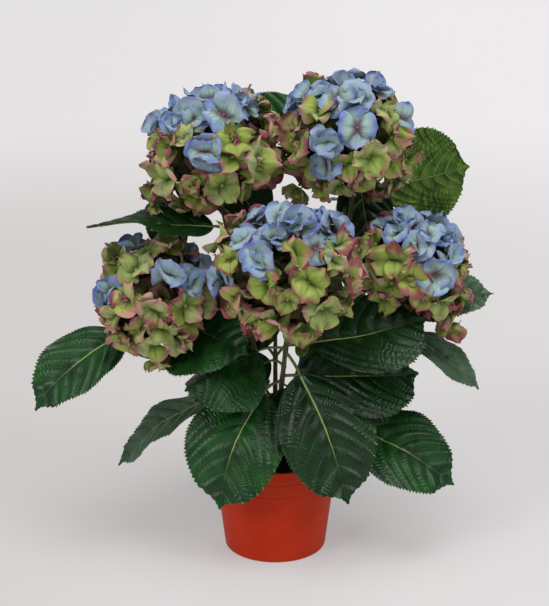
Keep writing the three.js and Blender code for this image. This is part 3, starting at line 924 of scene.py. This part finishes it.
def placed_florets(name):
    """The florets of the table: kind, place, facing, petal length, and that they aren't deep."""
    centre, size = HEADS[name][:2]
    size = np.array(size, float)
    found = []
    for kind, k in KINDS.items():
        for right, up, length, turned in FLORETS.get((name, kind), ()):
            base = (np.array([right, 0, 0]) + VIEW_UP * up) * DRAWN_IN / size
            if up > 0:
                base = base * min(1, k.reach / norm(base))
            # From there straight to the front, as far as the shell.
            step = TO_CAMERA / size
            a, b, c = step @ step, 2 * base @ step, base @ base - SHELL ** 2
            t = (-b + sqrt(max(b * b - 4 * a * c, 0))) / (2 * a)
            offset = (base + step * t) * size
            facing = unit(unit(offset / size ** 2) + TO_CAMERA * (turned + k.to_front))
            found.append((kind, np.array(centre) + offset, facing, length * k.longer, False))
    return found


def filled_florets(name, placed, rng):
    """The rest of the dome, on even spirals, clear of the florets of the table."""
    centre, size, _, seed, cap = HEADS[name]
    lean = head_lean(name)
    taken = [floret[1] for floret in placed]
    found = []
    for shell, count, reach, apart, lengths, deep in LAYERS:
        clear = apart + CLEAR
        for i in range(count):
            level = 1 - (i + 0.5) / count * (1 - cos(radians(reach)))
            offset = head_shell(name, level, GOLDEN * i + seed + rng.uniform(-0.08, 0.08))
            place = np.array(centre) + offset * shell * rng.uniform(0.92, 0.99)
            out = unit(offset / np.array(size) ** 2)
            tilt = rng.normal(0, 0.22, 3)
            pick, length = rng.random(), rng.uniform(*lengths)
            away = [norm(place - t) for t in taken]
            if min(away[:len(placed)], default=clear) < clear or min(away, default=apart) < apart:
                continue
            blue = degrees(acos(np.clip(out @ lean, -1, 1))) < cap - 4 + 10 * (pick - 0.5)
            stray = pick > 0.9 and out @ TO_CAMERA < 0.1
            taken.append(place)
            to_front = 0.45 * smoothstep(out @ TO_CAMERA, -0.5, 0.3)
            found.append(("blue" if (blue or stray) and not deep else "green", place,
                          unit(out + 0.1 * UP + to_front * TO_CAMERA + tilt), length, deep))
    return found


def add_limb(bag, controls, form):
    foot, end, steps, sides = form
    add_tube(bag, bezier(controls, np.linspace(0, 1, steps)), np.linspace(foot, end, steps), sides)


def add_twigs(bag, name, florets):
    """The head's branching: a short neck, spokes, and a stalk to each floret."""
    centre, size, _, seed, _ = HEADS[name]
    lean = head_lean(name)
    hub = np.array(centre) - lean * min(size) * 0.42
    add_limb(bag, [head_foot(name) - lean * 3, hub], NECK)
    ends = []
    for i in range(SPOKES):
        out = head_shell(name, 1 - (i + 0.5) / SPOKES * 1.25, GOLDEN * i + seed)
        ends.append(np.array(centre) + out * 0.30)
        add_limb(bag, [hub, hub + lean * 12 + out * 0.1, ends[-1]], SPOKE)
    for _, place, facing, _, _ in florets:
        start = ends[np.argmin(norm(np.array(ends) - place, axis=1))]
        back = place - facing * norm(place - start) * 0.45
        add_limb(bag, [start, back, place + facing * 1.5], TWIG)


def make_heads():
    petals = {(kind, group): Bag() for kind in KINDS for group in GROUPS}
    beads = {kind: Bag() for kind in KINDS}
    twigs = Bag()
    for name in HEADS:
        rng = np.random.default_rng(100 + HEADS[name][3])
        placed = placed_florets(name)
        florets = placed + filled_florets(name, placed, rng)
        group = "high" if name in GROUPS["high"] else "low"
        for kind, place, facing, length, deep in florets:
            add_floret(petals[kind, group], beads[kind], kind, place, facing, length, rng, deep)
        add_twigs(twigs, name, florets)
    for kind in KINDS:
        material = petal_material("petal_" + kind, kind)
        for group, heads in GROUPS.items():
            petals[kind, group].piece(f"petals_{kind}_{group}", material, "bloom", heads)
    for kind, tint, dark, pale in (("green", "green", "#8ea64a", "#b9c878"),
                                   ("blue", "plum", "#6e3a4c", "#a3707e")):
        beads[kind].piece("beads_" + tint, bead_material("bead_" + tint, dark, pale), "bloom", HEADS)
    twigs.piece("flower_stalks", stalk_material("flower_stalk"), "stem", HEADS)


# ---------------- materials
# Noise scales are to a metre, bump depths in metres, and colours sRGB hex codes.

def pot_material():
    s = Shade("pot_plastic")
    place = s.place()
    cloud, speck = s.noise(place, 18, 4), s.noise(place, 420, 2)
    colour = s.mix(s.smooth(cloud, 0.35, 0.7), "#bc2c08", "#c8350d")
    colour = s.mix(s.smooth(speck, 0.62, 0.8) * 0.35, colour, "#c2593c")
    return s.finish(colour, cloud * 0.2 + 0.42, speck * 0.5 + cloud * 1.2, depth=0.0002, strength=0.6,
                    Specular_IOR_Level=0.14)


def filling_material():
    s = Shade("filling_foam")
    grain = s.noise(s.place(), 260, 4, 0.65)
    colour = s.mix(s.smooth(grain, 0.3, 0.75), "#17110d", "#3b2c20")
    return s.finish(colour, 0.95, grain, depth=0.0012)


def stem_material():
    s = Shade("stem_plastic")
    place = s.place()
    streaky = s.add("ShaderNodeMapping", {"Vector": place, "Scale": (1, 1, 0.08)}).outputs[0]
    streak, cloud = s.noise(streaky, 520, 3), s.noise(place, 26, 3)
    colour = s.mix(s.smooth(cloud, 0.35, 0.65), "#3f4519", "#4f4a22")
    colour = s.mix(s.smooth(streak, 0.45, 0.75) * 0.6, colour, "#717838")
    return s.finish(colour, 0.55, streak, depth=0.0004)


def stalk_material(name):
    s = Shade(name)
    place = s.place()
    cloud, fine = s.noise(place, 30, 3), s.noise(place, 500, 2)
    colour = s.mix(s.smooth(cloud, 0.35, 0.65), "#50642c", "#6c7c3c")
    colour = s.mix(s.smooth(fine, 0.5, 0.8) * 0.4, colour, "#93a058")
    return s.finish(colour, 0.5, fine)


def bead_material(name, dark, pale):
    s = Shade(name)
    cloud = s.noise(s.place(), 700, 2)
    return s.finish(s.mix(s.smooth(cloud, 0.35, 0.7), dark, pale), 0.5, cloud)


# Dark and pale colours of a leaf's two sides, for each of the four tints.
LEAF_TINTS = {
    "above": ["#06230a", "#0c3310", "#345136", "#2a5010"],
    "above_pale": ["#104216", "#1c591d", "#557355", "#669436"],
    "below": ["#263c1c", "#2c4420", "#42583c", "#2f5a12"],
    "below_pale": ["#3c532a", "#465f2e", "#607354", "#86b044"],
}


def leaf_material():
    s = Shade("leaf_cloth")
    column, row, fx, fy = s.tile(4, 2)
    x = (fx - 0.5) * SPREAD
    y = (fy - LEAF_INSET) / (1 - 2 * LEAF_INSET)
    side = abs(x)
    cell = column * 3.7
    place = s.vector(x, y, cell)

    # The side veins are whole numbers of this line, and the midrib narrows and wavers.
    line = (y - (side * VEIN_SLOPE + side * side * VEIN_BEND)) * VEINS
    vein = 1 - s.smooth(abs((line + 0.5).do("FRACT") - 0.5), 0.01, 0.09)
    narrow = 0.0088 - y * 0.0075
    waver = (s.noise(s.vector(0.5, y * 15, cell), 1.0, 2) - 0.5) * 0.012
    midrib = 1 - s.smooth(abs(x + waver), narrow * 0.5, narrow)

    # Fine ribs cross from vein to vein, square to both.
    steep = side * (2 * VEIN_BEND) + VEIN_SLOPE
    ladder = y + steep.do("LOGARITHM", exp(1)) / (2 * VEIN_BEND)
    wobble = (s.noise(place, 7, 2) - 0.5) * 0.13
    rib = ((ladder + wobble) * (2 * pi * RIBS)).do("SINE")
    rib = ((rib + 1) * 0.5) ** 1.4
    relief = s.smooth(s.noise(place, 4.5, 1), 0.44, 0.62)
    mottle, fine = s.noise(place, 5, 4, 0.6), s.noise(place, 70, 2)

    tints = {key: s.steps(column, colours) for key, colours in LEAF_TINTS.items()}
    shade = s.smooth(mottle * 1.1 + rib * 0.1, 0.35, 0.95)
    bright = column > 2.5
    top = s.over(tints["above"], (shade, tints["above_pale"]),
                 (vein * (bright * 0.62 + 0.14), s.mix(bright, "#4d6a3a", "#a6bd62")),
                 (midrib * ((1 - s.smooth(y, 0.4, 0.8)) * 0.82 + 0.06), "#b4c56c"))
    under = s.over(tints["below"], (shade, tints["below_pale"]),
                   (vein.do("MAXIMUM", midrib) * 0.72, "#9cba5c"))
    height = rib * (relief * 0.85 + 0.12) + fine * 0.08 - vein * 0.8 + mottle * 0.8
    return s.finish(s.mix(row, top, under), mottle * 0.14 + row * 0.2 + 0.25, height, depth=0.00055,
                    strength=0.72, Specular_IOR_Level=0.36)


def petal_material(name, kind):
    s = Shade(name)
    column, row, fx, fy = s.tile(4, 4)
    p = (fx - PETAL_INSET) / (1 - 2 * PETAL_INSET)
    q = (fy - 0.5) / (0.5 - PETAL_INSET)
    a, b, c = s.chance(column, 7.0, 1.0)
    d, e, f = s.chance(column, row, 5.0)
    # Florets deep in the head take this column, which is painted darker as shade.
    deep = column > SHADED_COLUMN - 0.5
    cell = column * 5.3 + row * 13.7
    streak = s.noise(s.vector(q * 9, p * 1.3, cell), 1.0, 3)
    patch = s.noise(s.vector(q * 1.3, p * 1.6, cell), 1.0, 2)
    weave = s.noise(s.vector(q * 60, p * 60, cell), 1.0, 1)
    shade = s.smooth(patch, 0.5, 0.74)
    # Painted shade: darker along the middle of a petal towards its foot, where the crease lies in
    # shade.
    crease_shade = (1 - s.smooth(abs(q), 0.0, 0.18)) * (1 - s.smooth(p, 0.3, 0.9))
    # How far out a place counts as for the margin's colour, which comes further in at the sides.
    bent = (p + (patch - 0.5) * 0.7 + (streak - 0.5) * 0.25
            + abs(q) ** 3 * s.smooth(p, 0.25, 0.7) * 0.26)
    if kind == "green":
        # Painted shade on the green florets: dark patches, a darker heart and crease where the cupped
        # floret is in shade, and florets deep in the head darker all over, their rose margins too.
        body = s.over(s.mix(a, "#98ae44", "#a9bd58"), (d * 0.6, "#d3dcaa"), (shade * 0.6, "#586722"),
                      ((1 - s.smooth(p, 0.02, 0.55)) * 0.9, "#415a14"), (crease_shade * 0.45, "#48601a"),
                      (deep * 0.85, "#2c3210"))
        reach = 0.86 - e * 0.48
        rim = s.smooth(bent, reach, reach + 0.44) * (b * 0.2 + 0.8)
        rose = s.mix(s.smooth(f, 0.2, 0.8), "#d98f98", "#a34c60")
        colour = s.mix(rim, body, s.mix(deep * 0.8, rose, "#34131c"))
    else:
        rim = s.smooth(bent, 0.42, 1.08) * (b * 0.3 + 0.7)
        pink = s.smooth(bent, 0.82, 1.45) * (e > 0.7)
        heart = 1 - s.smooth(p + (streak - 0.5) * 0.3, 0.12, c * 0.3 + 0.05 + 0.28)
        # Painted shade on the blue florets: dark patches, a darker crease, and florets deep in the head
        # darker all over. The plum heart and pink touches are the petals' own colours.
        colour = s.over(s.mix(a, "#9fc4b0", "#b6d2c6"), (shade * 0.5, "#5f819c"),
                        (crease_shade * 0.35, "#4f7280"), (rim, s.mix(d, "#7686d2", "#b0b9ea")),
                        (deep * 0.6, "#2c3854"), (pink * 0.75, "#c690a2"), (heart * 0.8, "#6a3046"))
    between = {"green": "#5c6f2a", "blue": "#5a748c"}[kind]
    colour = s.mix((1 - s.smooth(streak, 0.42, 0.66)) * 0.22, colour, between)
    return s.finish(colour, 0.7, streak + weave * 0.25, depth=0.0006, strength=0.7, Sheen_Weight=0.04,
                    Sheen_Roughness=0.5, Specular_IOR_Level=0.16)


def floor_material():
    """Pale paper, with painted light: paler to the right, round the pot and far off, and a faint glow
    that lightens its shadows.
    """
    s = Shade("studio_floor")
    place = s.place()
    right = s.smooth(s.add("ShaderNodeSeparateXYZ", {0: place}).outputs[0], -0.6, 0.6)
    pot, middle = (s.add("ShaderNodeVectorMath", {0: place, 1: spot}, operation="DISTANCE")
                   .outputs["Value"] for spot in ((0.05, -0.25, 0), (0, 0, 0)))
    # Painted light: paler to the right, round the pot, where it lightens the shadow, and far off.
    colour = s.over(s.mix(right, "#928f8d", "#a6a4a4"),
                    (1 - s.smooth(pot, 0.15, 0.55), s.mix(right, "#a19f9e", "#b0aeae")),
                    (s.smooth(middle, 1.0, 2.3), s.mix(right, "#b1afaf", "#bcbabb")))
    # The glow is painted light, which lightens the shadows on the floor.
    return s.finish(colour, 0.9, Specular_IOR_Level=0.1,
                    Emission_Color=linear("#fffcfc"), Emission_Strength=0.35)


def make_floor():
    sides, radius = 96, 14
    mesh = bpy.data.meshes.new("studio_floor")
    mesh.from_pydata(around(radius, circle(sides), 0).tolist(), [], [list(range(sides))])
    mesh.materials.append(floor_material())
    floor = add_object("studio_floor", mesh)


# ---------------- the scene

add_camera()
add_lights()
bpy.context.scene.view_settings.view_transform = "Standard"
make_floor()
make_pot()
make_filling()
make_stems()
make_leaves()
make_heads()
